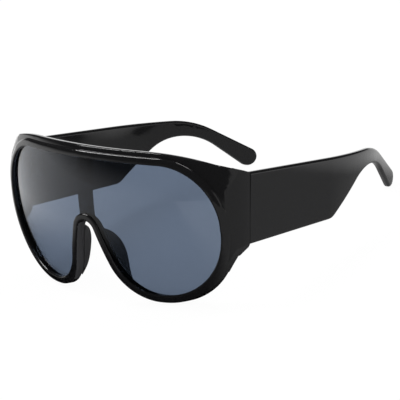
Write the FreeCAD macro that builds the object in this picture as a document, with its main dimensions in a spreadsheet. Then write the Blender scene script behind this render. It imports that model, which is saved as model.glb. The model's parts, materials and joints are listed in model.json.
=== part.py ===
import FreeCAD, Part
import os
from math import asin, atan2, cos, degrees, pi, radians, sin, sqrt, tan
from types import SimpleNamespace
from FreeCAD import Placement, Rotation, Vector

# Oversized one-piece-lens sunglasses with wide folding temples.
# Drawn temple-level: X across the face (+X is the wearer's left), the front faces -Y, Z is up and
# z = 0 is the temples' top edge. The finished pieces are pitched at the end to stand on a table.
# The left-hand pieces are drawn, and the right-hand ones are their mirror images.

SIZES = [
    # the lens opening, seen from the front
    ("lens_half_width", 65.5, "centre line to the temple side"),
    ("lens_top", 2.2, "top above the temples' top edge"),
    ("lens_bottom", 56.5, "bottom below the temples' top edge"),
    ("brow_corner_radius", 25, "upper outer corner"),
    ("cheek_corner_radius", 32, "lower outer corner"),
    ("nose_corner_radius", 20, "lower corner beside the nose"),
    ("nose_flank_angle", 19.8, "degrees of the nose flank from upright"),
    ("nose_arch_top", 22.6, "edge over the nose, below the temples' top edge"),
    ("nose_arch_radius", 8.2, "edge over the nose"),
    # the curved front and the lens in its groove
    ("curve_height", -4.3, "height of the curve centres"),
    ("front_curve_radius", 130, "front of the rim"),
    ("frame_depth", 4.6, "rim, front to back"),
    ("lens_curve_radius", 121, "front of the lens"),
    ("lens_setback", 0.6, "lens front behind the rim front at the centre line"),
    ("lens_thickness", 1.5, "moulded lens"),
    ("lens_inset", 0.9, "lens edge inside the groove"),
    ("lens_edge_gap", 0.1, "lens edge to the bottom of the groove"),
    ("lens_face_gap", 0.05, "lens faces to the sides of the groove"),
    ("post_width", 7, "bridge post behind the lens"),
    # rim, brow and end pieces
    ("rim_width", 3.5, "rim band round the opening"),
    ("rim_outer_round", 1.5, "rim's outer front edge"),
    ("rim_inner_round", 0.7, "rim's inner front edge"),
    ("rim_back_round", 0.8, "rim's outer back edge"),
    ("brow_top", 7.7, "flat top of the brow above the temples' top edge"),
    ("brow_flat_half", 34, "half the flat stretch of the brow"),
    ("brow_fall_radius", 109, "curve by which the brow falls to the end pieces"),
    ("brow_setback", 1.2, "brow face behind the rim face"),
    ("brow_round", 0.9, "brow's top edges"),
    ("end_piece_reach", 5.5, "opening to the outer face at the joint"),
    ("end_piece_depth", 15.6, "rim front beside the opening to the joint"),
    ("end_piece_wall", 3.2, "wall at the joint"),
    ("end_piece_curve", 25, "outer face in plan"),
    ("end_piece_edge", 0.9, "opening to the outer face at the rim front"),
    ("end_piece_pitch", 17.7, "degrees that the top rises forward from the joint"),
    ("end_piece_hang", 3.5, "inner lower corner at the joint, below the temple"),
    ("end_piece_fall", 37, "degrees that the bottom falls forward from that corner"),
    ("end_piece_corner", 6.4, "rim front to the inner corner behind the rim"),
    ("cheek_angle", 33.7, "degrees below level, where the lower edge runs into the rim"),
    # temples
    ("joint_gap", 0.25, "between the end piece and the temple"),
    ("temple_thickness", 3.2, "temple wall"),
    ("temple_height", 31.5, "temple at the joint"),
    ("temple_lower_rise", 4.6, "degrees that the lower edge rises to the rear"),
    ("panel_length", 53.9, "joint to the lower rear corner of the wide panel"),
    ("panel_corner_radius", 6.4, "lower rear corner"),
    ("ear_length", 92.7, "joint to the bend over the ear"),
    ("ear_bend_radius", 36, "top edge over the ear"),
    ("ear_drop_angle", 30, "degrees that the ear hook drops"),
    ("hook_length", 34.9, "bend to the tip"),
    ("tip_width", 9, "ear hook at the tip"),
    ("tip_radius", 4.3, "tip corners"),
    ("arch_reach", 87.7, "joint to the corner of the lower edge over the ear"),
    ("arch_drop", 0.75, "that corner below the top edge"),
    ("arch_radius", 24.6, "lower edge over the ear"),
    ("toe_in_angle", 1.6, "degrees that the temple leans in"),
    ("bend_start", 50.5, "joint to where the temple starts to curve in"),
    ("bend_radius", 103, "curve of the temple in plan"),
    ("bend_angle", 26.7, "degrees that the ear hook leans in"),
    ("temple_round", 1.2, "temple's long edges"),
    # hinges and screws
    ("hinge_drop", 12, "hinge centre below the temples' top edge"),
    ("knuckle_radius", 1.4, "hinge barrel"),
    ("knuckle_height", 2.4, "one of the three barrels"),
    ("knuckle_gap", 0.1, "between barrels"),
    ("barrel_clearance", 0.2, "barrels to the plastic behind them"),
    ("leaf_recess", 0.2, "leaf sunk into the plastic"),
    ("leaf_thickness", 1, "hinge leaf"),
    ("leaf_height", 11, "hinge leaf"),
    ("leaf_length", 4.3, "plate of the leaf, along the temple"),
    ("leaf_offset", 1.9, "hinge axis to the plate"),
    ("leaf_gap", 0.1, "leaf to the sides of its recess"),
    ("pin_radius", 0.7, "hinge screw shank"),
    ("pin_clearance", 0.05, "shank to barrel"),
    ("pin_head_radius", 1.2, "hinge screw head"),
    ("pin_head_height", 0.8, "hinge screw head"),
    ("slot_width", 0.35, "driver slots"),
    ("slot_depth", 0.35, "driver slots"),
    ("screw_spacing", 6.4, "between the two screws of a leaf"),
    ("screw_radius", 0.5, "leaf screw shank"),
    ("screw_head_radius", 0.95, "leaf screw head"),
    ("screw_head_height", 0.45, "countersunk leaf screw head"),
    ("screw_length", 2.9, "leaf screw from head to point"),
    ("screw_clearance", 0.02, "leaf screw to its holes"),
    # nose pads
    ("pad_gap", 0.05, "bond line between the pad and the rim"),
    ("pad_thickness", 1.8, "pad flange"),
    ("pad_depth", 6.7, "pad behind the rim, where it is widest"),
    ("pad_length", 28, "along the rim, from the edge over the nose"),
    ("pad_skew", 0.65, "below 1, the widest place is above the middle"),
    ("pad_flare", 21, "degrees that the pad opens to the rear"),
]

doc = FreeCAD.newDocument("shield_sunglasses")
sheet = doc.addObject("Spreadsheet::Sheet", "sizes")
for row, (name, value, note) in enumerate(SIZES, 1):
    sheet.set(f"A{row}", name)
    sheet.set(f"B{row}", str(value))
    sheet.set(f"C{row}", note)
    sheet.setAlias(f"B{row}", name)

# Places that follow from the sizes.
PLACES = [
    ("front_centre", "=sizes.front_curve_radius"),
    ("back_radius", "=sizes.front_curve_radius - sizes.frame_depth"),
    ("lens_centre", "=sizes.lens_setback + sizes.lens_curve_radius"),
    ("lens_back_radius", "=sizes.lens_curve_radius - sizes.lens_thickness"),
    ("rim_side_y", "=front_centre - sqrt(sizes.front_curve_radius^2 - sizes.lens_half_width^2)"),
    ("joint_x", "=sizes.lens_half_width + sizes.end_piece_reach"),
    ("joint_y", "=rim_side_y + sizes.end_piece_depth"),
    ("leaf_seat_x", "=joint_x - sizes.end_piece_wall + sizes.leaf_recess"),
    ("hinge_x", "=leaf_seat_x - sizes.barrel_clearance - sizes.knuckle_radius"),
    ("screw_y", "=sizes.leaf_offset + sizes.leaf_length / 2"),
]
places = doc.addObject("Spreadsheet::Sheet", "places")
for row, (name, formula) in enumerate(PLACES, 1):
    places.set(f"A{row}", name)
    places.set(f"B{row}", formula)
    places.setAlias(f"B{row}", name)
doc.recompute()
size = SimpleNamespace(**{name: sheet.get(name) for name, _, _ in SIZES})
place = SimpleNamespace(**{name: places.get(name) for name, _ in PLACES})

FAR = 4 * size.lens_half_width      # reach of the cutting shapes, clear of every piece
DEEP = 0.5 * size.front_curve_radius    # reach behind the front, short of the curve centres
PAD_STEPS = 8     # sections along a nose pad
PAD_END = 0.01    # share of the pad's length before its first section
PLANES = {
    "XY": Rotation(),
    "XZ": Rotation(Vector(1, 0, 0), 90),
    "YZ": Rotation(Vector(1, 1, 1), 120),
}


def bind(thing, expressions):
    for name, text in expressions.items():
        thing.setExpression(name, text)


def rounded(corners):
    """Closed outline through (x, y, radius) corners, as lines and tangent arcs."""
    points = [Vector(x, y, 0) for x, y, _ in corners]
    count = len(points)
    ways = [(points[(i + 1) % count] - points[i]) for i in range(count)]
    halves = [(-ways[i - 1]).getAngle(ways[i]) / 2 for i in range(count)]
    trims = [corners[i][2] / tan(halves[i]) for i in range(count)]
    # where an edge is too short for both of its arcs, they shrink together
    fits = [min(1, 0.98 * ways[i].Length / max(trims[i] + trims[(i + 1) % count], 1e-9))
            for i in range(count)]
    trims = [trims[i] * min(fits[i], fits[i - 1]) for i in range(count)]
    starts = [points[i] - ways[i - 1] * (trims[i] / ways[i - 1].Length) for i in range(count)]
    ends = [points[i] + ways[i] * (trims[i] / ways[i].Length) for i in range(count)]
    outline = []
    for i in range(count):
        if trims[i] > 0:
            radius = trims[i] * tan(halves[i])
            inward = (starts[i] + ends[i]) / 2 - points[i]
            middle = points[i] + inward * ((radius / sin(halves[i]) - radius) / inward.Length)
            outline.append(Part.Arc(starts[i], middle, ends[i]))
        outline.append(Part.LineSegment(ends[i], starts[(i + 1) % count]))
    return outline


def sketch(name, plane, outline, body=None):
    if body is None:
        drawn = doc.addObject("Sketcher::SketchObject", name)
        drawn.Placement = Placement(Vector(), PLANES[plane])
    else:
        drawn = body.newObject("Sketcher::SketchObject", name)
        origin = [f for f in body.Origin.OriginFeatures if f.Role == plane + "_Plane"][0]
        drawn.AttachmentSupport = (origin, [""])
        drawn.MapMode = "FlatFace"
    for edge in outline:
        drawn.addGeometry(edge)
    return drawn


def prism(name, plane, outline, ahead=FAR, behind=DEEP):
    solid = doc.addObject("Part::Extrusion", name)
    solid.Base = sketch(name + "_outline", plane, outline)
    solid.DirMode = "Normal"
    solid.LengthFwd = ahead
    solid.LengthRev = behind
    solid.Solid = True
    return solid


def ball(name, radius, depth):
    solid = doc.addObject("Part::Sphere", name)
    bind(solid, {"Radius": radius, "Placement.Base.y": depth, "Placement.Base.z": "sizes.curve_height"})
    return solid


def box(name, at, lengths):
    solid = doc.addObject("Part::Box", name)
    bind(solid, dict(zip(("Placement.Base.x", "Placement.Base.y", "Placement.Base.z"), at)))
    bind(solid, dict(zip(("Length", "Width", "Height"), lengths)))
    return solid


def rod(name, at, radius, length, turn=Rotation()):
    solid = doc.addObject("Part::Cylinder", name)
    solid.Placement = Placement(Vector(), turn)
    bind(solid, dict(zip(("Placement.Base.x", "Placement.Base.y", "Placement.Base.z"), at)))
    bind(solid, {"Radius": radius, "Height": length})
    return solid


def cut(name, base, tool):
    solid = doc.addObject("Part::Cut", name)
    solid.Base = base
    solid.Tool = tool
    return solid


def common(name, base, tool):
    solid = doc.addObject("Part::Common", name)
    solid.Base = base
    solid.Tool = tool
    return solid


def fuse(name, solids):
    solid = doc.addObject("Part::MultiFuse", name)
    solid.Shapes = solids
    return solid


def mirror(name, source):
    solid = doc.addObject("Part::Mirroring", name)
    solid.Source = source
    solid.Normal = Vector(1, 0, 0)
    return solid


def round_edges(name, base, radius_of):
    doc.recompute()
    radii = [radius_of(edge) for edge in base.Shape.Edges]
    solid = doc.addObject("Part::Fillet", name)
    solid.Base = base
    solid.Edges = [(i, radius, radius) for i, radius in enumerate(radii, 1) if radius > 0]
    return solid


def middle_of(edge):
    return edge.valueAt((edge.FirstParameter + edge.LastParameter) / 2)


def off_front(point):
    """Distance of a point behind the rim's front surface."""
    from_centre = point - Vector(0, place.front_centre, size.curve_height)
    return size.front_curve_radius - from_centre.Length


def front_depth(x, z=size.curve_height, behind=0):
    """Depth of the rim's front surface, or of the surface that far behind it."""
    radius = size.front_curve_radius - behind
    return place.front_centre - sqrt(radius**2 - x**2 - (z - size.curve_height)**2)


def lens_outline(grow=0):
    """The lens opening from the front, moved outwards all round by grow."""
    slope = radians(size.nose_flank_angle)
    half = size.lens_half_width + grow
    top = size.lens_top + grow
    bottom = -size.lens_bottom - grow
    arch_radius = size.nose_arch_radius - grow
    apex = -size.nose_arch_top - size.nose_arch_radius + arch_radius / sin(slope)
    foot = (apex - bottom) * tan(slope)
    right = [
        (foot, bottom, size.nose_corner_radius + grow),
        (half, bottom, size.cheek_corner_radius + grow),
        (half, top, size.brow_corner_radius + grow),
    ]
    left = [(-x, z, radius) for x, z, radius in reversed(right)]
    return rounded([(0, apex, arch_radius)] + right + left)


def side_face():
    """Plan line of the end piece's outer face: where it leaves the rim, a point on it, and the joint."""
    start_x = size.lens_half_width + size.end_piece_edge
    start = Vector(start_x, front_depth(start_x), 0)
    end = Vector(place.joint_x, place.joint_y - size.joint_gap / 2, 0)
    chord = end - start
    half_turn = asin(chord.Length / 2 / size.end_piece_curve)
    outward = Vector(chord.y, -chord.x, 0).normalize()
    middle = start + chord / 2 + outward * (size.end_piece_curve * (1 - cos(half_turn)))
    heading = atan2(chord.x, chord.y) + half_turn
    return start, middle, end, heading


def across_centre(point):
    return Vector(-point.x, point.y, point.z)


def brow_at(x):
    """A point of the brow's top edge from the front, on the curve that falls to the end piece."""
    drop = size.brow_fall_radius - sqrt(size.brow_fall_radius**2 - (x - size.brow_flat_half)**2)
    return Vector(x, size.brow_top - drop, 0)


def cheek_line(x):
    """Lower edge of the front beside the rim: straight from the joint to just inside the rim's outline."""
    turn = radians(size.cheek_angle)
    reach = size.cheek_corner_radius + 0.9 * size.rim_width
    inner = Vector(size.lens_half_width - size.cheek_corner_radius + reach * cos(turn),
                   -size.lens_bottom + size.cheek_corner_radius - reach * sin(turn), 0)
    way = Vector(place.joint_x, -size.temple_height, 0) - inner
    return inner, inner + way * ((x - inner.x) / way.x)


def hinge_recess(name, along):
    """Seat of one hinge leaf, with its two pilot holes; along is -1 into the front, 1 into the temple."""
    length = "sizes.leaf_offset + sizes.leaf_length + sizes.leaf_gap"
    near_y = "places.joint_y" if along > 0 else f"places.joint_y - ({length})"
    low_z = "-sizes.hinge_drop - sizes.leaf_height / 2 - sizes.leaf_gap"
    inset = "places.hinge_x - 2 * sizes.knuckle_radius"
    seat = box(name + "_seat", (inset, near_y, low_z),
               (f"places.leaf_seat_x - ({inset})", length, "sizes.leaf_height + 2 * sizes.leaf_gap"))
    pilots = [rod(f"{name}_pilot_{end}", leaf_screw_at(along, sign),
                  "sizes.screw_radius + sizes.screw_clearance", "sizes.screw_length",
                  Rotation(Vector(0, 1, 0), 90))
              for end, sign in (("upper", 1), ("lower", -1))]
    return fuse(name, [seat] + pilots)


def leaf_screw_at(along, sign):
    """Head end of a leaf screw, on the leaf's inner face."""
    return ("places.leaf_seat_x - sizes.leaf_thickness", f"places.joint_y + {along} * places.screw_y",
            f"-sizes.hinge_drop + {sign} * sizes.screw_spacing / 2")


def make_front():
    front_ball = ball("rim_front", "sizes.front_curve_radius", "places.front_centre")
    brow_ball = ball("brow_front", "sizes.front_curve_radius - sizes.brow_setback", "places.front_centre")
    back_ball = ball("frame_back", "places.back_radius", "places.front_centre")
    opening = prism("opening", "XZ", lens_outline())

    # the rim band round the opening
    rim = common("rim_dome", prism("rim_block", "XZ", lens_outline(size.rim_width)), front_ball)
    rim = cut("rim_ring", cut("rim_shell", rim, back_ball), opening)
    rim = round_edges("rim", rim, rim_round)

    # the brow: flat on top, falling to the end pieces, and run down each side as far as the rim's cheeks
    fall_x = place.joint_x + size.end_piece_reach
    fall = [brow_at(x) for x in (size.brow_flat_half, (size.brow_flat_half + fall_x) / 2, fall_x)]
    cheek_in, cheek_out = cheek_line(fall_x)
    half = [fall[2], cheek_out, cheek_in, Vector(cheek_in.x, -size.hinge_drop, 0)]
    back_fall = [across_centre(point) for point in fall]
    corners = half + [across_centre(point) for point in reversed(half)]
    brow_outline = [Part.LineSegment(*pair) for pair in zip(corners, corners[1:])]
    brow_outline += [Part.Arc(*fall), Part.Arc(*back_fall), Part.LineSegment(back_fall[0], fall[0])]
    brow = common("brow_slab", prism("brow_block", "XZ", brow_outline), brow_ball)
    brow = cut("brow_plate", brow, back_ball)
    brow = round_edges("brow", brow, brow_round)

    # the end pieces, from the rim back to the joint
    inner_x = place.joint_x - size.end_piece_wall
    root_x = size.lens_half_width - size.frame_depth / 2
    behind_y = place.joint_y + size.end_piece_depth
    plan = rounded([
        (root_x, 0, 0), (fall_x, 0, 0), (fall_x, behind_y, 0), (inner_x, behind_y, 0),
        (inner_x, front_depth(inner_x) + size.end_piece_corner, size.end_piece_wall / 2),
        (root_x, front_depth(root_x) + size.frame_depth, 0),
    ])
    top = [brow_at(x) for x in (root_x, (root_x + fall_x) / 2, fall_x)]
    face = [Part.Arc(*top), Part.LineSegment(top[2], cheek_out), Part.LineSegment(cheek_out, cheek_in),
            Part.LineSegment(cheek_in, top[0])]
    rise = tan(radians(size.end_piece_pitch))
    sink = tan(radians(size.end_piece_fall))
    low = size.temple_height + size.end_piece_hang
    side = rounded([
        (0, place.joint_y * rise, 0), (behind_y, -size.end_piece_depth * rise, 0),
        (behind_y, size.end_piece_depth * sink - low, 0), (0, -place.joint_y * sink - low, 0),
    ])
    end_piece = common("end_piece_bar", prism("end_piece_plan", "XY", plan, FAR, FAR),
                       prism("end_piece_face", "XZ", face))
    end_piece = common("end_piece_block", end_piece, prism("end_piece_side", "YZ", side, FAR, FAR))
    end_piece = common("end_piece", end_piece, brow_ball)

    # all trimmed to one plan outline, whose sides are the outer faces at the joints
    start, middle, end, heading = side_face()
    ahead = start - Vector(sin(heading), cos(heading), 0) * size.lens_half_width
    line = [ahead, start, middle, end, Vector(inner_x, end.y, 0), Vector(inner_x, DEEP, 0)]
    other = [across_centre(point) for point in line]
    trim_outline = [Part.LineSegment(line[5], other[5]), Part.LineSegment(other[0], line[0])]
    for run in (line, other):
        trim_outline.append(Part.LineSegment(run[0], run[1]))
        trim_outline.append(Part.Arc(run[1], run[2], run[3]))
        trim_outline.append(Part.LineSegment(run[3], run[4]))
        trim_outline.append(Part.LineSegment(run[4], run[5]))
    outer = fuse("front_outer", [brow, end_piece, mirror("end_piece_mirror", end_piece)])
    blank = fuse("front_blank", [rim, cut("front_outer_opened", outer, opening)])
    blank = common("front_trimmed", blank, prism("trim", "XY", trim_outline, FAR, FAR))

    # the bridge post behind the lens, and the groove that holds the lens all round
    groove_front = ball("groove_front", "sizes.lens_curve_radius + sizes.lens_face_gap", "places.lens_centre")
    groove_back = ball("groove_back", "places.lens_back_radius - sizes.lens_face_gap", "places.lens_centre")
    post = box("post_block", ("-sizes.post_width / 2", "0", "-sizes.nose_arch_top - sizes.rim_width / 2"),
               ("sizes.post_width", "sizes.front_curve_radius / 4",
                "sizes.nose_arch_top + sizes.lens_top + sizes.rim_width"))
    post = cut("post", common("post_slab", post, groove_back), back_ball)
    groove = prism("groove_block", "XZ", lens_outline(size.lens_inset + size.lens_edge_gap))
    groove = cut("groove", common("groove_slab", groove, groove_front), groove_back)
    front = cut("front_grooved", fuse("front_posted", [blank, post]), groove)
    recess = hinge_recess("front_hinge_recess", -1)
    recesses = fuse("front_hinge_recesses", [recess, mirror("front_hinge_recess_mirror", recess)])
    return cut("front_frame", front, recesses)


def rim_round(edge):
    """Radius for an edge of the rim's front or back face, by whether it is on the opening."""
    point = middle_of(edge)
    behind = off_front(point)
    opening = Part.Wire([piece.toShape() for piece in lens_outline()])
    is_inner = opening.distToShape(Part.Vertex(point.x, point.z, 0))[0] < size.rim_width / 2
    if abs(behind) < 1e-3:
        return size.rim_inner_round if is_inner else size.rim_outer_round
    if abs(behind - size.frame_depth) < 1e-3 and not is_inner:
        return size.rim_back_round
    return 0


def brow_round(edge):
    """Radius for the brow's long top edges, front and back."""
    point = middle_of(edge)
    is_long = edge.Length > 2 * size.frame_depth
    return size.brow_round if is_long and point.z > -size.hinge_drop / 2 else 0


def make_lens():
    """A spherical blank, edged to reach into the groove."""
    body = doc.addObject("PartDesign::Body", "shield_lens")
    centre = Vector(place.lens_centre, size.curve_height, 0)
    rise = asin(1.3 * size.lens_half_width / place.lens_back_radius)    # past the lens's corners

    def on_curve(radius, turn):
        return centre + Vector(-radius * cos(turn), radius * sin(turn), 0)

    outer = [on_curve(size.lens_curve_radius, rise * share) for share in (0, 0.5, 1)]
    inner = [on_curve(place.lens_back_radius, rise * share) for share in (1, 0.5, 0)]
    profile = sketch("lens_section", "YZ", [
        Part.Arc(*outer), Part.LineSegment(outer[2], inner[0]), Part.Arc(*inner),
        Part.LineSegment(inner[2], outer[0]),
    ], body)
    profile.addGeometry(Part.LineSegment(outer[0], centre), True)
    blank = body.newObject("PartDesign::Revolution", "lens_blank")
    blank.Profile = profile
    blank.ReferenceAxis = (profile, ["Axis0"])
    blank.Angle = 360
    waste = rounded([(-FAR, -FAR, 0), (FAR, -FAR, 0), (FAR, FAR, 0), (-FAR, FAR, 0)])
    edged = body.newObject("PartDesign::Pocket", "lens_edging")
    edged.Profile = sketch("lens_edge", "XZ", waste + lens_outline(size.lens_inset), body)
    edged.SideType = "Symmetric"
    edged.Type = "ThroughAll"
    return body


def make_temple():
    """Curved in plan, cut to its side outline, with its long edges rounded and a seat for the hinge leaf."""
    body = doc.addObject("PartDesign::Body", "temple_blank")
    joint_y = place.joint_y + size.joint_gap / 2
    turns = [radians(size.toe_in_angle), radians(size.bend_angle)]
    ways = [Vector(-sin(turn), cos(turn), 0) for turn in turns]
    inward = [Vector(-cos(turn), -sin(turn), 0) for turn in turns]
    to_corner = size.bend_start + size.bend_radius * tan((turns[1] - turns[0]) / 2)
    outer = [Vector(place.joint_x, joint_y, 0)]
    outer.append(outer[0] + ways[0] * to_corner)
    outer.append(outer[1] + ways[1] * (size.ear_length + size.hook_length))
    thick = size.temple_thickness
    across = (inward[0] + inward[1]) * (1 / (1 + inward[0].dot(inward[1])))
    inner = [Vector(outer[0].x - thick / cos(turns[0]), joint_y, 0), outer[1] + across * thick,
             outer[2] + inward[1] * thick]
    plan = rounded([
        (outer[0].x, outer[0].y, 0), (outer[1].x, outer[1].y, size.bend_radius), (outer[2].x, outer[2].y, 0),
        (inner[2].x, inner[2].y, 0), (inner[1].x, inner[1].y, size.bend_radius - thick),
        (inner[0].x, inner[0].y, 0),
    ])
    slab = body.newObject("PartDesign::Pad", "temple_slab")
    slab.Profile = sketch("temple_plan", "XY", plan, body)
    slab.SideType = "Symmetric"
    slab.Length = 2 * FAR

    drop = radians(size.ear_drop_angle)
    bend = Vector(joint_y + size.ear_length, 0, 0)
    tip_out = bend + Vector(cos(drop), -sin(drop), 0) * size.hook_length
    tip_in = tip_out + Vector(-sin(drop), -cos(drop), 0) * size.tip_width
    panel_end = joint_y + size.panel_length
    panel_low = -size.temple_height + size.panel_length * tan(radians(size.temple_lower_rise))
    outline = rounded([
        (joint_y, 0, 0), (bend.x, bend.y, size.ear_bend_radius), (tip_out.x, tip_out.y, size.tip_radius),
        (tip_in.x, tip_in.y, size.tip_radius), (joint_y + size.arch_reach, -size.arch_drop, size.arch_radius),
        (panel_end, panel_low, size.panel_corner_radius), (joint_y, -size.temple_height, 0),
    ])
    waste = rounded([(-FAR, -FAR, 0), (FAR, -FAR, 0), (FAR, FAR, 0), (-FAR, FAR, 0)])
    profile = body.newObject("PartDesign::Pocket", "temple_profile")
    profile.Profile = sketch("temple_side", "YZ", waste + outline, body)
    profile.SideType = "Symmetric"
    profile.Type = "ThroughAll"
    doc.recompute()

    def long_edge(edge):
        point = middle_of(edge)
        at_joint = abs(point.y - joint_y) < 1e-3
        way = edge.tangentAt((edge.FirstParameter + edge.LastParameter) / 2)
        return not at_joint and abs(way.x) < 0.8    # edges that cross the wall stay sharp

    softened = body.newObject("PartDesign::Fillet", "temple_edges")
    chosen = [f"Edge{i}" for i, edge in enumerate(profile.Shape.Edges, 1) if long_edge(edge)]
    softened.Base = (profile, chosen)
    softened.Radius = min(size.temple_round, 0.4 * thick)
    doc.recompute()
    return cut("left_temple", body, hinge_recess("temple_hinge_recess", 1))


def make_leaf(name, along, barrels):
    """Hinge leaf: a screwed plate with its barrels, at these places of the stack from -1 to 1."""
    pitch = "(sizes.knuckle_height + sizes.knuckle_gap)"
    plate_y = "places.joint_y + sizes.leaf_offset"
    if along < 0:
        plate_y = "places.joint_y - sizes.leaf_offset - sizes.leaf_length"
    plate_x = "places.leaf_seat_x - sizes.leaf_thickness"
    solids = [box(name + "_plate", (plate_x, plate_y, "-sizes.hinge_drop - sizes.leaf_height / 2"),
                  ("sizes.leaf_thickness", "sizes.leaf_length", "sizes.leaf_height"))]
    web_y = "places.joint_y" if along > 0 else "places.joint_y - sizes.leaf_offset"
    for step in barrels:
        low = f"-sizes.hinge_drop + {step} * {pitch} - sizes.knuckle_height / 2"
        solids.append(box(f"{name}_web_{step + 1}", (plate_x, web_y, low),
                          ("sizes.leaf_thickness", "sizes.leaf_offset", "sizes.knuckle_height")))
        solids.append(rod(f"{name}_barrel_{step + 1}", ("places.hinge_x", "places.joint_y", low),
                          "sizes.knuckle_radius", "sizes.knuckle_height"))
    below = "-sizes.hinge_drop - 2 * sizes.leaf_height"
    bore = rod(name + "_bore", ("places.hinge_x", "places.joint_y", below),
               "sizes.pin_radius + sizes.pin_clearance", "4 * sizes.leaf_height")
    holes = [screw_shape(f"{name}_hole_{end}", along, sign, "sizes.screw_clearance")
             for end, sign in (("upper", 1), ("lower", -1))]
    return cut(name, fuse(name + "_blank", solids), fuse(name + "_holes", [bore] + holes))


def screw_shape(name, along, sign, extra="0"):
    """Countersunk head and shank of a leaf screw, or with extra clearance its hole in the leaf."""
    turn = Rotation(Vector(0, 1, 0), 90)
    at = leaf_screw_at(along, sign)
    head = doc.addObject("Part::Cone", name + "_head")
    head.Placement = Placement(Vector(), turn)
    bind(head, dict(zip(("Placement.Base.x", "Placement.Base.y", "Placement.Base.z"), at)))
    bind(head, {"Radius1": f"sizes.screw_head_radius + {extra}", "Radius2": f"sizes.screw_radius + {extra}",
                "Height": "sizes.screw_head_height"})
    shank = rod(name + "_shank", at, f"sizes.screw_radius + {extra}", "sizes.screw_length", turn)
    return fuse(name, [head, shank])


def make_leaf_screws(name, along):
    """The two screws of one leaf, slotted."""
    screws = []
    for end, sign in (("upper", 1), ("lower", -1)):
        x, y, z = leaf_screw_at(along, sign)
        slot = box(f"{name}_{end}_slot", (x, f"{y} - sizes.screw_head_radius", f"{z} - sizes.slot_width / 2"),
                   ("sizes.slot_depth", "2 * sizes.screw_head_radius", "sizes.slot_width"))
        screws.append(cut(f"{name}_{end}", screw_shape(f"{name}_{end}_blank", along, sign), slot))
    group = doc.addObject("Part::Compound", name)
    group.Links = screws
    return group


def make_hinge_screw():
    """Slotted cheese-head screw down through the three barrels."""
    stack = "(1.5 * sizes.knuckle_height + sizes.knuckle_gap)"
    foot_z = f"-sizes.hinge_drop - {stack}"
    head_z = f"-sizes.hinge_drop + {stack}"
    shank = rod("hinge_screw_shank", ("places.hinge_x", "places.joint_y", foot_z), "sizes.pin_radius",
                f"2 * {stack}")
    head = rod("hinge_screw_head", ("places.hinge_x", "places.joint_y", head_z), "sizes.pin_head_radius",
               "sizes.pin_head_height")
    slot = box("hinge_screw_slot",
               ("places.hinge_x - sizes.pin_head_radius", "places.joint_y - sizes.slot_width / 2",
                f"{head_z} + sizes.pin_head_height - sizes.slot_depth"),
               ("2 * sizes.pin_head_radius", "sizes.slot_width", "sizes.slot_depth"))
    return cut("left_hinge_screw", fuse("hinge_screw_blank", [shank, head]), slot)


def make_nose_pad():
    """A flange bonded to the rim's back: it carries the nose flank on to the rear and opens outwards."""
    flank, corner = [curve.toShape() for curve in lens_outline(size.rim_width)[1:3]]
    flare = radians(size.pad_flare)
    sections = []
    for step in range(PAD_STEPS + 1):
        share = PAD_END + (1 - 2 * PAD_END) * (step / PAD_STEPS)**1.5    # closer where the flange rises
        along = share * size.pad_length
        edge, reach = (flank, along) if along < flank.Length else (corner, along - flank.Length)
        parameter = edge.getParameterByLength(reach)
        point = edge.valueAt(parameter)
        way = edge.tangentAt(parameter)
        inward = Vector(-way.y, 0, way.x)
        rear = Vector(0, cos(flare), 0) + inward * sin(flare)
        base = Vector(point.x, front_depth(point.x, point.y, size.frame_depth), point.y)
        height = size.pad_depth * sin(pi * share**size.pad_skew)
        front, back = base - rear * size.pad_thickness, base + rear * height
        section = doc.addObject("Part::Polygon", f"pad_section_{step}")
        section.Nodes = [front, back, back + inward * size.pad_thickness, front + inward * size.pad_thickness]
        section.Close = True
        sections.append(section)
    flange = doc.addObject("Part::Loft", "pad_flange")
    flange.Sections = sections
    flange.Solid = True
    seat = ball("pad_seat", "places.back_radius - sizes.pad_gap", "places.front_centre")
    return common("left_nose_pad", flange, seat)


front_frame = make_front()
shield_lens = make_lens()
left_temple = make_temple()
left_pieces = {
    "temple": left_temple,
    "nose_pad": make_nose_pad(),
    "front_hinge_leaf": make_leaf("left_front_hinge_leaf", -1, (-1, 1)),
    "temple_hinge_leaf": make_leaf("left_temple_hinge_leaf", 1, (0,)),
    "hinge_screw": make_hinge_screw(),
    "front_leaf_screws": make_leaf_screws("left_front_leaf_screws", -1),
    "temple_leaf_screws": make_leaf_screws("left_temple_leaf_screws", 1),
}
pieces = {"front_frame": front_frame, "shield_lens": shield_lens}
for name, piece in left_pieces.items():
    pieces["left_" + name] = piece
doc.recompute()

# Standing on a table: pitched until the rim's lobes and the temple tips touch down together.
def turned_box(piece, pitch):
    shape = piece.Shape.copy()
    shape.Placement = Placement(Vector(), Rotation(Vector(1, 0, 0), -pitch)).multiply(shape.Placement)
    return shape.optimalBoundingBox(False)


pitch = 0
for _ in range(6):
    front_box = turned_box(front_frame, pitch)
    temple_box = turned_box(left_temple, pitch)
    pitch += degrees((temple_box.ZMin - front_box.ZMin) / (temple_box.YMax - front_box.YMax))
turn = Rotation(Vector(1, 0, 0), -pitch)
turned = front_box.united(temple_box)
rest = Placement(Vector(0, -turned.Center.y, -turned.ZMin), turn)
for name, piece in list(pieces.items()):
    piece.Placement = rest
    piece.Label = name
for name, piece in left_pieces.items():
    pieces["right_" + name] = mirror("right_" + name, piece)
    pieces["right_" + name].Label = "right_" + name
doc.recompute()

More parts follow.
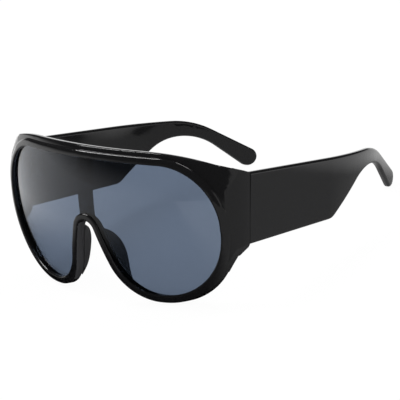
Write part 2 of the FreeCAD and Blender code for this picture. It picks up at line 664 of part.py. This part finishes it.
for thing in doc.Objects:
    if "Invalid" in thing.State or "Error" in thing.State:
        raise RuntimeError(f"{thing.Label} failed: {thing.State}")
os.makedirs("parts", exist_ok=True)
for name, piece in pieces.items():
    shape = piece.Shape
    if shape.isNull() or not shape.isValid() or not shape.Solids:
        raise RuntimeError(f"{name} has no valid shape")
    shape.exportStep(f"parts/{name}.step")
    bounds = shape.BoundBox
    print(f"{name}: {len(shape.Solids)} solid, {shape.Volume:.1f} mm3, "
          f"x {bounds.XMin:.1f}..{bounds.XMax:.1f} "
          f"y {bounds.YMin:.1f}..{bounds.YMax:.1f} z {bounds.ZMin:.1f}..{bounds.ZMax:.1f}")
hinge = rest.multVec(Vector(place.hinge_x, place.joint_y, -size.hinge_drop))
axis = turn.multVec(Vector(0, 0, 1))
print(f"pitch {pitch:.3f} degrees, rest offset {rest.Base}")
print(f"left hinge at {hinge}, axis {axis}")
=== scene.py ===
import json
import math
import bmesh
import bpy
from mathutils import Matrix, Vector


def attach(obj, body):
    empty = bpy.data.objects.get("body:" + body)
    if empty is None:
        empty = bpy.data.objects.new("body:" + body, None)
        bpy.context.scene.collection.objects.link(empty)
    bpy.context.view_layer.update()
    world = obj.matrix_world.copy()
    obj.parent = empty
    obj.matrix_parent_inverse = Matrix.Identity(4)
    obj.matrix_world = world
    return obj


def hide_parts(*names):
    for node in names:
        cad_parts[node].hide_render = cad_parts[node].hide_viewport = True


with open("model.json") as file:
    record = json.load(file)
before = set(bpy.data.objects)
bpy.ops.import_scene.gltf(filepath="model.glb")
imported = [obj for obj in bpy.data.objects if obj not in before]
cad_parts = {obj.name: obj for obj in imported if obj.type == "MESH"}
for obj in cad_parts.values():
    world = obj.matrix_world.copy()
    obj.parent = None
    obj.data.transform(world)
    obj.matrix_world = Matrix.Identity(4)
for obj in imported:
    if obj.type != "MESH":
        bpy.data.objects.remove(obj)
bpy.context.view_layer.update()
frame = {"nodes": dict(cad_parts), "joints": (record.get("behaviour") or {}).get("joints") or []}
scene = bpy.context.scene
scene.view_settings.view_transform = "Standard"
print("frame loaded:", len(frame["nodes"]), "nodes")

mm = 0.001


def linear(hexColour):
    channels = [int(hexColour[i:i + 2], 16) / 255 for i in (1, 3, 5)]
    return [c / 12.92 if c <= 0.04045 else ((c + 0.055) / 1.055) ** 2.4 for c in channels] + [1]


def addNode(material, kind, settings={}, inputs={}, links={}):
    # settings are the node's own fields, inputs are socket values, links are socket -> (node, output)
    node = material.node_tree.nodes.new(kind)
    for name, value in settings.items():
        setattr(node, name, value)
    for name, value in inputs.items():
        node.inputs[name].default_value = value
    for name, (source, output) in links.items():
        material.node_tree.links.new(source.outputs[output], node.inputs[name])
    return node


noiseSpan = {"From Min": 0.3, "From Max": 0.7}   # most of a noise texture lies between these


def newMaterial(name):
    material = bpy.data.materials.new(name)
    material.use_nodes = True
    material.node_tree.nodes.clear()
    return material


def finishMaterial(material, shader):
    addNode(material, "ShaderNodeOutputMaterial", links={"Surface": (shader, 0)})
    return material


# injection-moulded polycarbonate, polished tool: deep black, clear reflections, a trace of orange peel
blackPlastic = {
    "colour": "#101011",
    "ior": 1.47,
    "roughness": (0.06, 0.11),
    "patchMm": 22,      # slow change of gloss over the moulding
    "peelMm": 3.5,      # orange peel
    "peelDepthMm": 0.0012,
}


def makeBlackPlastic():
    look = blackPlastic
    material = newMaterial("glossBlackPolycarbonate")
    place = addNode(material, "ShaderNodeTexCoord")
    patch = addNode(material, "ShaderNodeTexNoise", inputs={"Scale": 1 / (look["patchMm"] * mm), "Detail": 3},
                    links={"Vector": (place, "Object")})
    gloss = addNode(material, "ShaderNodeMapRange",
                    inputs={**noiseSpan, "To Min": look["roughness"][0], "To Max": look["roughness"][1]},
                    links={"Value": (patch, 0)})
    peel = addNode(material, "ShaderNodeTexNoise", inputs={"Scale": 1 / (look["peelMm"] * mm), "Detail": 1},
                   links={"Vector": (place, "Object")})
    bump = addNode(material, "ShaderNodeBump", inputs={"Strength": 1, "Distance": look["peelDepthMm"] * mm},
                   links={"Height": (peel, 0)})
    shader = addNode(material, "ShaderNodeBsdfPrincipled",
                     inputs={"Base Color": linear(look["colour"]), "IOR": look["ior"]},
                     links={"Roughness": (gloss, 0), "Normal": (bump, 0)})
    return finishMaterial(material, shader)


# half-matt moulded plastic of the nose flanges, with a fine sparked texture: its grey is partly the look of
# that finish and partly painted light, lighter than the flanges' black, standing in for the light they catch
satinAndPaintedLightLook = {
    # partly painted light: this grey is lighter than the black, for light the flanges catch
    "colour": "#363638",
    "ior": 1.45,
    "roughness": (0.3, 0.42),
    "grainMm": 0.6,     # coarser than the real texture, so that it shows
    "grainDepthMm": 0.004,
}


def makeSatinAndPaintedLight():
    look = satinAndPaintedLightLook
    material = newMaterial("satinBlackPolycarbonateAndPaintedLight")
    place = addNode(material, "ShaderNodeTexCoord")
    grain = addNode(material, "ShaderNodeTexNoise", inputs={"Scale": 1 / (look["grainMm"] * mm), "Detail": 2},
                    links={"Vector": (place, "Object")})
    gloss = addNode(material, "ShaderNodeMapRange",
                    inputs={**noiseSpan, "To Min": look["roughness"][0], "To Max": look["roughness"][1]},
                    links={"Value": (grain, 0)})
    bump = addNode(material, "ShaderNodeBump", inputs={"Strength": 1, "Distance": look["grainDepthMm"] * mm},
                   links={"Height": (grain, 0)})
    shader = addNode(material, "ShaderNodeBsdfPrincipled",
                     inputs={"Base Color": linear(look["colour"]), "IOR": look["ior"]},
                     links={"Roughness": (gloss, 0), "Normal": (bump, 0)})
    return finishMaterial(material, shader)


# smoke-tinted moulded polycarbonate lens: optically smooth, blue-grey in transmission
smokeLens = {"colour": "#5f6b7d", "ior": 1.5, "roughness": 0.0}


def makeSmokeLens():
    look = smokeLens
    material = newMaterial("smokePolycarbonateLens")
    shader = addNode(material, "ShaderNodeBsdfPrincipled",
                     inputs={"Base Color": linear(look["colour"]), "IOR": look["ior"],
                             "Roughness": look["roughness"], "Transmission Weight": 1})
    return finishMaterial(material, shader)


# black-nickel plated steel of the hinges: barrel-polished, with fine scratches along the leaf
hingeSteel = {
    "colour": "#3b3a3a",
    "roughness": (0.24, 0.4),
    "scratchMm": (0.12, 2.5),   # across and along, wider than real scratches, so that they show
}


def makeHingeSteel():
    look = hingeSteel
    material = newMaterial("blackNickelSteel")
    place = addNode(material, "ShaderNodeTexCoord")
    across, along = [1 / (width * mm) for width in look["scratchMm"]]
    stretch = addNode(material, "ShaderNodeMapping", inputs={"Scale": (across, along, across)},
                      links={"Vector": (place, "Object")})
    scratch = addNode(material, "ShaderNodeTexNoise", inputs={"Scale": 1, "Detail": 2},
                      links={"Vector": (stretch, 0)})
    gloss = addNode(material, "ShaderNodeMapRange",
                    inputs={**noiseSpan, "To Min": look["roughness"][0], "To Max": look["roughness"][1]},
                    links={"Value": (scratch, 0)})
    shader = addNode(material, "ShaderNodeBsdfPrincipled",
                     inputs={"Base Color": linear(look["colour"]), "Metallic": 1},
                     links={"Roughness": (gloss, 0)})
    return finishMaterial(material, shader)


plastic = makeBlackPlastic()
satinAndPaintedLight = makeSatinAndPaintedLight()
lens = makeSmokeLens()
steel = makeHingeSteel()
print("materials made")

# on the table the whole part leans back, about X, from the pose in which the temples are level
hingeAxis = Vector(frame["joints"][0]["axis"])
leanBack = Matrix.Rotation(-math.atan2(hingeAxis.y, hingeAxis.z), 3, "X")
rimMiddle = Vector((0, -69.045, 63.725))    # middle of the rim's front, mm: the level pose's origin


def onTable(point):
    return (rimMiddle + leanBack @ Vector(point)) * mm


# the moulded pieces: each CAD solid welded and shaded smooth, so that its gloss shows no facets
mouldings = {
    "frontMoulding": ("front_frame", "front", plastic, "black_frame_plastic"),
    "lensShield": ("shield_lens", "front", lens, "smoke_lens"),
    "leftTempleMoulding": ("left_temple", "left_side", plastic, "black_frame_plastic"),
    "rightTempleMoulding": ("right_temple", "right_side", plastic, "black_frame_plastic"),
    "leftNoseFlange": ("left_nose_pad", "front", satinAndPaintedLight, "nose_pad_plastic"),
    "rightNoseFlange": ("right_nose_pad", "front", satinAndPaintedLight, "nose_pad_plastic"),
}
smoothing = {
    "weldMm": 0.002,
    "creaseDegrees": 28,
    "wallCreaseDegrees": 5,     # along the edges of the upright side faces
    "upright": 0.01,            # how far such a face may lean, as a share of its direction
    "sideways": 0.5,            # how far it faces sideways at least
}

# the brow's ends, level pose, mm: one facet shaves the upper corner between brow and side face
browEnd = {
    "low": (66.5, 19.2, -5.5),
    "rear": (69.6, 25.6, 1.8),
    "inner": (57.0, 14.8, 5.2),
    "soften": 0.3,      # how far the facet's own edges are cut back
    "softTurn": 0.35,   # share of the neighbour's direction in those cuts
    "sideFace": (0.95, -0.3, 0),    # directions of the three neighbours
    "browTop": (0.2, -0.2, 0.95),
    "browFace": (0.42, -0.9, 0.06),
}
# the end piece's lower corner, level pose, mm: cut back from the temple's lower edge to the cheek
jointToe = {"edge": (0, 34.1, -31.5), "cheek": (0, 29.5, -37.4)}
cutSnap = 0.0001 * mm   # corners this near a cut stay where they are


def gathered(faces):    # with their edges and corners, in the same order each run
    edges = dict.fromkeys(edge for face in faces for edge in face.edges)
    verts = dict.fromkeys(vert for face in faces for vert in face.verts)
    return [*faces, *edges, *verts]


def cutAway(shape, side, point, normal, limit=None):
    cut = [face for face in shape.faces if face.calc_center_median().x * side > 0]
    if limit:   # split there first, so that only the shape beyond it is cut
        bmesh.ops.bisect_plane(shape, geom=gathered(cut), dist=cutSnap, plane_co=limit[0], plane_no=limit[1])
        cut = [face for face in shape.faces if face.calc_center_median().x * side > 0
               and (face.calc_center_median() - limit[0]).dot(limit[1]) > 0]
    bmesh.ops.bisect_plane(shape, geom=gathered(cut), dist=cutSnap, plane_co=point, plane_no=normal,
                           clear_outer=True)
    openEdges = [edge for edge in shape.edges if edge.is_boundary]
    bmesh.ops.holes_fill(shape, edges=openEdges, sides=0)
    bmesh.ops.triangulate(shape, faces=[face for face in shape.faces if len(face.verts) > 3])


def shapeFront(shape):
    low, rear, inner = [Vector(browEnd[key]) for key in ("low", "rear", "inner")]
    facet = (rear - low).cross(inner - low).normalized()
    cuts = [(low, facet)]
    sides = ((low, rear, "sideFace"), (rear, inner, "browTop"), (low, inner, "browFace"))
    for first, second, neighbour in sides:
        turned = (facet + Vector(browEnd[neighbour]) * browEnd["softTurn"]).normalized()
        cuts.append(((first + second) / 2 - turned * browEnd["soften"], turned))
    edge, cheek = Vector(jointToe["edge"]), Vector(jointToe["cheek"])
    along = (edge - cheek).normalized()
    under = along.cross(Vector((1, 0, 0)))
    for side in (1, -1):
        flip = Matrix.Diagonal((side, 1, 1))
        for point, normal in cuts:
            cutAway(shape, side, onTable(flip @ point), leanBack @ flip @ normal)
        cutAway(shape, side, onTable(edge), leanBack @ under, (onTable(cheek), leanBack @ along))


# a chamfer down the temple's front edge, widest at the top, lets the joint show as a thin dark line
# level pose, mm
jointChamfer = {"inner": (70.5, 33.43, 0), "rear": (71.0, 33.93, 0), "end": (71.0, 33.43, -20)}


def chamferTemple(shape, side):
    inner, rear, end = [Vector(jointChamfer[key]) for key in ("inner", "rear", "end")]
    normal = (end - inner).cross(rear - inner).normalized()
    flip = Matrix.Diagonal((side, 1, 1))
    cutAway(shape, side, onTable(flip @ inner), leanBack @ flip @ normal)


def isWall(face):
    leaning = abs(face.normal.dot(hingeAxis))
    return leaning < smoothing["upright"] and abs(face.normal.x) > smoothing["sideways"]


def markCreases(shape, wallCreases):
    shape.normal_update()
    crease, wallCrease = [math.radians(smoothing[key]) for key in ("creaseDegrees", "wallCreaseDegrees")]
    for face in shape.faces:
        face.smooth = True
    for edge in shape.edges:
        turn = edge.calc_face_angle(0)
        walls = {isWall(face) for face in edge.link_faces}
        onWall = wallCreases and len(walls) == 2    # between an upright side face and what it meets
        edge.smooth = turn < (wallCrease if onWall else crease)


# the front's walls beside the nose take the flanges' half-matt material; its lighter grey is painted light
# there, standing in for the light these walls catch
paintedLightNoseWall = {"within": 26, "facing": 0.55}   # mm from the middle, share of the direction across the nose


def paintLightOnNoseWalls(mesh):
    mesh.materials.append(satinAndPaintedLight)
    for face in mesh.polygons:
        inwards = -face.normal.x * math.copysign(1, face.center.x)
        if abs(face.center.x) < paintedLightNoseWall["within"] * mm and inwards > paintedLightNoseWall["facing"]:
            # these inward-facing faces get the lighter grey: painted light
            face.material_index = 1


# the lens faces are parts of two spheres about one centre: their true directions keep the reflections even
lensCurve = {
    "centre": (0, 121.6, -4.3),     # level pose, mm
    "front": 121,
    "thickness": 1.5,
    "within": 0.02,
    "facing": 0.9,      # leaves out the lens's edge
}


def curveLens(mesh):
    centre = onTable(lensCurve["centre"])
    directions = []
    for face in mesh.polygons:
        for corner in face.vertices:
            ray = mesh.vertices[corner].co - centre
            outside = lensCurve["front"] * mm - ray.length
            onFront = abs(outside) < lensCurve["within"] * mm
            onBack = abs(outside - lensCurve["thickness"] * mm) < lensCurve["within"] * mm
            away = ray.normalized()
            if onFront and face.normal.dot(away) > lensCurve["facing"]:
                directions.append(away)
            elif onBack and face.normal.dot(away) < -lensCurve["facing"]:
                directions.append(-away)
            else:
                directions.append(face.normal)
    mesh.normals_split_custom_set(directions)


def makeMoulding(name, node, body, material, slotName):
    mesh = frame["nodes"][node].data.copy()
    mesh.name = name
    shape = bmesh.new()
    shape.from_mesh(mesh)
    bmesh.ops.remove_doubles(shape, verts=shape.verts, dist=smoothing["weldMm"] * mm)
    if node == "front_frame":
        shapeFront(shape)
    if node.endswith("temple"):
        chamferTemple(shape, 1 if body == "left_side" else -1)
    markCreases(shape, node == "front_frame")
    shape.to_mesh(mesh)
    shape.free()
    mesh.materials.clear()
    mesh.materials.append(material)
    if node == "shield_lens":
        curveLens(mesh)
    if node == "front_frame":
        paintLightOnNoseWalls(mesh)
    piece = bpy.data.objects.new(name, mesh)
    scene.collection.objects.link(piece)
    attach(piece, body)
    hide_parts(node)


for name, facts in mouldings.items():
    makeMoulding(name, *facts)
for name, node in frame["nodes"].items():
    if "hinge" in name or "screw" in name:
        node.data.materials.clear()
        node.data.materials.append(steel)

# white sweep: the floor shows white and keeps a faint shadow
# reflections see painted light on it: a glow brighter to the left and behind, painted pools of light, and
# painted shade near the part
studio = {
    "floorSize": 6.0,
    "floorColour": "#f2f2f2",
    "glow": 0.96,               # share of the floor's white that shadow doesn't take
    "glowThroughLens": 0.6,     # the same, seen through the lens
    "roomBright": (-0.9, 0.43, 0.0),    # the room's bright side
    "roomRise": (-0.5, 1.0),    # share of that direction over which the room brightens
    "roomLevel": (0.05, 1.2),
    "roomTop": (-0.05, 0.2),    # height of direction over which the bright side ends
    "floorShade": (0.09, 0.2),  # metres from the part over which the floor's painted shade, seen in reflections, fades out
    "floorPools": (             # painted pools of light, seen in reflections: direction, metres from and to, brightness
        ((0, 1, 0), -0.05, 0.03, 0.4),
        ((0, 1, 0), 0.06, 0.11, 1.2),
        ((1, 0, 0), 0.05, 0.09, 0.4),
    ),
}


def addRoomLevel(material, direction):
    facing = addNode(material, "ShaderNodeVectorMath", {"operation": "DOT_PRODUCT"},
                     inputs={1: studio["roomBright"]}, links={0: direction})
    return addNode(material, "ShaderNodeMapRange",
                   inputs={"From Min": studio["roomRise"][0], "From Max": studio["roomRise"][1],
                           "To Min": studio["roomLevel"][0], "To Max": studio["roomLevel"][1]},
                   links={"Value": (facing, "Value")})


def makeFloor():
    shape = bmesh.new()
    bmesh.ops.create_grid(shape, x_segments=1, y_segments=1, size=studio["floorSize"] / 2)
    mesh = bpy.data.meshes.new("floor")
    shape.to_mesh(mesh)
    shape.free()
    floor = bpy.data.objects.new("floor", mesh)
    scene.collection.objects.link(floor)
    material = newMaterial("whiteSweep")
    path = addNode(material, "ShaderNodeLightPath")
    seen = addNode(material, "ShaderNodeMath", {"operation": "MAXIMUM"},
                   links={0: (path, "Is Camera Ray"), 1: (path, "Is Transmission Ray")})
    paint = addNode(material, "ShaderNodeBsdfDiffuse", inputs={"Color": linear(studio["floorColour"])})
    glow = addNode(material, "ShaderNodeEmission", inputs={"Strength": 1})
    share = addNode(material, "ShaderNodeMapRange",
                    inputs={"To Min": studio["glow"], "To Max": studio["glowThroughLens"]},
                    links={"Value": (path, "Is Transmission Ray")})
    white = addNode(material, "ShaderNodeMixShader", links={0: (share, 0), 1: (paint, 0), 2: (glow, 0)})
    place = addNode(material, "ShaderNodeTexCoord")
    away = addNode(material, "ShaderNodeVectorMath", {"operation": "NORMALIZE"}, links={0: (place, "Object")})
    distance = addNode(material, "ShaderNodeVectorMath", {"operation": "LENGTH"},
                       links={0: (place, "Object")})
    shade = addNode(material, "ShaderNodeMapRange", {"interpolation_type": "SMOOTHSTEP"},
                    inputs={"From Min": studio["floorShade"][0], "From Max": studio["floorShade"][1]},
                    links={"Value": (distance, "Value")})
    level = addNode(material, "ShaderNodeMath", {"operation": "MULTIPLY"},
                    links={0: (addRoomLevel(material, (away, 0)), 0), 1: (shade, 0)})
    for way, start, stop, brightness in studio["floorPools"]:
        reach = addNode(material, "ShaderNodeVectorMath", {"operation": "DOT_PRODUCT"}, inputs={1: way},
                        links={0: (place, "Object")})
        pool = addNode(material, "ShaderNodeMapRange", {"interpolation_type": "SMOOTHSTEP"},
                       inputs={"From Min": start, "From Max": stop, "To Min": 0, "To Max": brightness},
                       links={"Value": (reach, "Value")})
        level = addNode(material, "ShaderNodeMath", {"operation": "MAXIMUM"},
                        links={0: (level, 0), 1: (pool, 0)})
    # the floor as reflections see it: painted light and painted shade, by direction and distance from the
    # part
    paintedFloorSheen = addNode(material, "ShaderNodeEmission", links={"Strength": (level, 0)})
    both = addNode(material, "ShaderNodeMixShader",
                   links={0: (path, "Is Glossy Ray"), 1: (paint, 0), 2: (paintedFloorSheen, 0)})
    both = addNode(material, "ShaderNodeMixShader", links={0: (seen, 0), 1: (both, 0), 2: (white, 0)})
    mesh.materials.append(finishMaterial(material, both))


def makeWorld():
    world = bpy.data.worlds.new("studioWorld")
    scene.world = world
    world.use_nodes = True
    world.node_tree.nodes.clear()
    path = addNode(world, "ShaderNodeLightPath")
    place = addNode(world, "ShaderNodeTexCoord")
    bright = addRoomLevel(world, (place, "Generated"))
    height = addNode(world, "ShaderNodeSeparateXYZ", links={0: (place, "Generated")})
    low = addNode(world, "ShaderNodeMapRange", {"interpolation_type": "SMOOTHSTEP"},
                  inputs={"From Min": studio["roomTop"][0], "From Max": studio["roomTop"][1],
                          "To Min": 1, "To Max": 0}, links={"Value": (height, "Z")})
    side = addNode(world, "ShaderNodeMath", {"operation": "MULTIPLY"}, links={0: (bright, 0), 1: (low, 0)})
    level = addNode(world, "ShaderNodeMath", {"operation": "MAXIMUM"}, inputs={1: studio["roomLevel"][0]},
                    links={0: (side, 0)})
    room = addNode(world, "ShaderNodeBackground", inputs={"Color": (1, 1, 1, 1)},
                   links={"Strength": (level, 0)})
    white = addNode(world, "ShaderNodeBackground", inputs={"Color": (1, 1, 1, 1), "Strength": 1})
    both = addNode(world, "ShaderNodeMixShader",
                   links={0: (path, "Is Glossy Ray"), 1: (white, 0), 2: (room, 0)})
    addNode(world, "ShaderNodeOutputWorld", links={"Surface": (both, 0)})


makeFloor()
makeWorld()

# softboxes: place and size in metres, brightness as the reflections show it (1 = white)
softboxAim = Vector((0, 0, 0.04))
softboxes = {
    "overhead": {"at": (0.05, 0.5, 1.0), "size": (0.4, 0.3), "brightness": 8},
    "leftStrip": {"at": (-0.6, -0.1, 1.0), "size": (0.2, 0.6), "brightness": 16},
    "rightCard": {"at": (1.6, 0.0, 0.5), "size": (1.6, 0.9), "brightness": 0.5},
}


def makeSoftbox(name, facts):
    wide, high = facts["size"]
    lamp = bpy.data.lights.new(name, "AREA")
    lamp.shape = "RECTANGLE"
    lamp.size = wide
    lamp.size_y = high
    lamp.energy = facts["brightness"] * math.pi * wide * high
    box = bpy.data.objects.new(name, lamp)
    scene.collection.objects.link(box)
    box.location = facts["at"]
    box.rotation_mode = "QUATERNION"
    box.rotation_quaternion = (softboxAim - box.location).to_track_quat("-Z", "Y")


for name, facts in softboxes.items():
    makeSoftbox(name, facts)
print("stage lit")

# the camera, fitted to the photograph with the temples level
photoView = {
    "azimuth": 45.0,
    "elevation": 9.66,
    "roll": -0.18,
    "distance": 1483.33,        # mm from the middle of the rim's front
    "pixelsPerMm": 2.29384,
    "middlePixel": (80.0, 163.0),   # that point in the 400 pixel picture
    "picture": 400,
    "sensor": 36,
    "clip": (0.05, 50),
}


def makeCamera():
    view = photoView
    azimuth, elevation, roll = [math.radians(view[key]) for key in ("azimuth", "elevation", "roll")]
    back = Vector((math.sin(azimuth) * math.cos(elevation), -math.cos(azimuth) * math.cos(elevation),
                   math.sin(elevation)))
    right = Vector((math.cos(azimuth), math.sin(azimuth), 0))
    up = back.cross(right)
    spun = right * math.cos(roll) + up * math.sin(roll)
    axes = Matrix((spun, back.cross(spun), back)).transposed()
    axes = leanBack @ axes
    half = view["picture"] / 2
    aside = (half - view["middlePixel"][0]) / view["pixelsPerMm"]
    above = (view["middlePixel"][1] - half) / view["pixelsPerMm"]
    place = (rimMiddle + axes @ Vector((aside, above, view["distance"]))) * mm
    data = bpy.data.cameras.new("photoCamera")
    data.sensor_width = view["sensor"]
    data.lens = view["pixelsPerMm"] * view["distance"] * view["sensor"] / view["picture"]
    data.clip_start, data.clip_end = view["clip"]
    camera = bpy.data.objects.new("photoCamera", data)
    scene.collection.objects.link(camera)
    camera.matrix_world = Matrix.Translation(place) @ axes.to_4x4()
    scene.camera = camera


makeCamera()
print("done")
